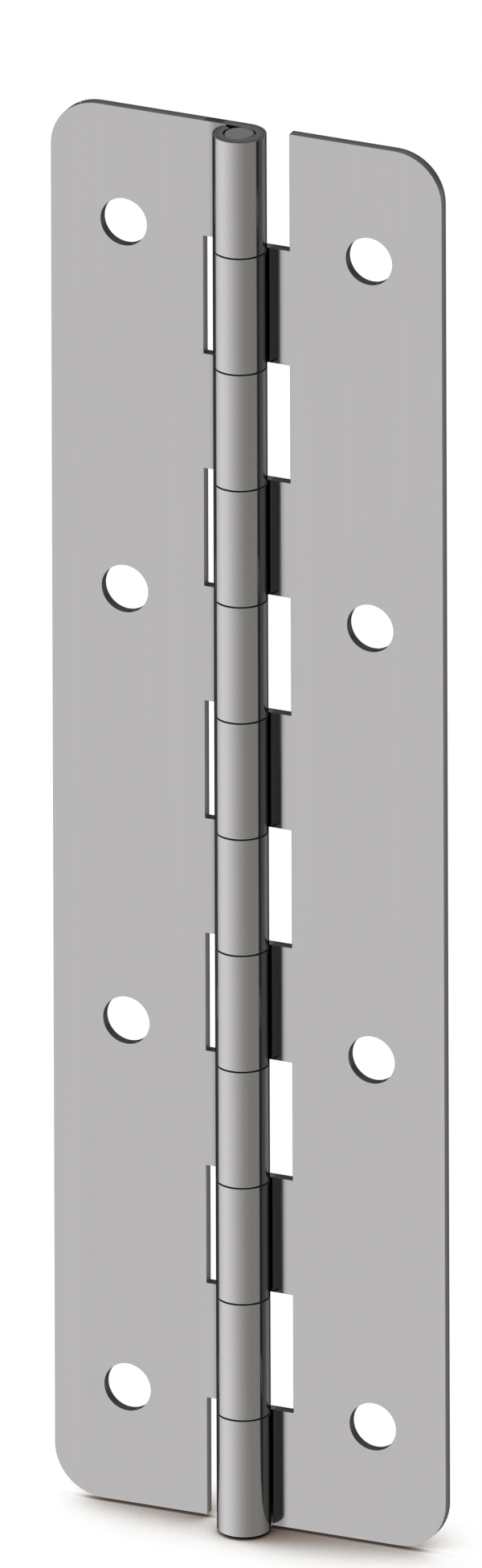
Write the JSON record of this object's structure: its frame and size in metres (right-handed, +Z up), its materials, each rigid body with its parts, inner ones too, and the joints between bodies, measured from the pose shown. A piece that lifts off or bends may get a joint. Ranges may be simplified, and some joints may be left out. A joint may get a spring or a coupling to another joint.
{
  "type": "leaf hinge",
  "caption": "Flat sheet-steel leaf hinge: two leaves with rolled knuckles interleaved on one pin, rounded outer corners and plain round screw holes.",
  "frame": {"origin": "on the pin's axis at mid-length, which is the centre of the open hinge's box", "axes": "X across the open hinge with the door leaf at +X, +Y out of the flat back, +Z up the pin"},
  "size_m": [0.0596, 0.0076, 0.21],
  "materials": {
    "leaf_steel": "satin, fine rolled grain along the pin, darker sheared edges",
    "pin_steel": "drawn rod with turned ends"
  },
  "bodies": {
    "frame_side": {"frame_leaf": "leaf_steel", "hinge_pin": "pin_steel"},
    "door_side": {"door_leaf": "leaf_steel"}
  },
  "joints": [
    {"name": "door_leaf_swing", "type": "hinge", "parent": "frame_side", "child": "door_side", "pos_m": [0, 0, 0], "axis": [0, 0, 1], "range_deg": [-188, 118]}
  ]
}
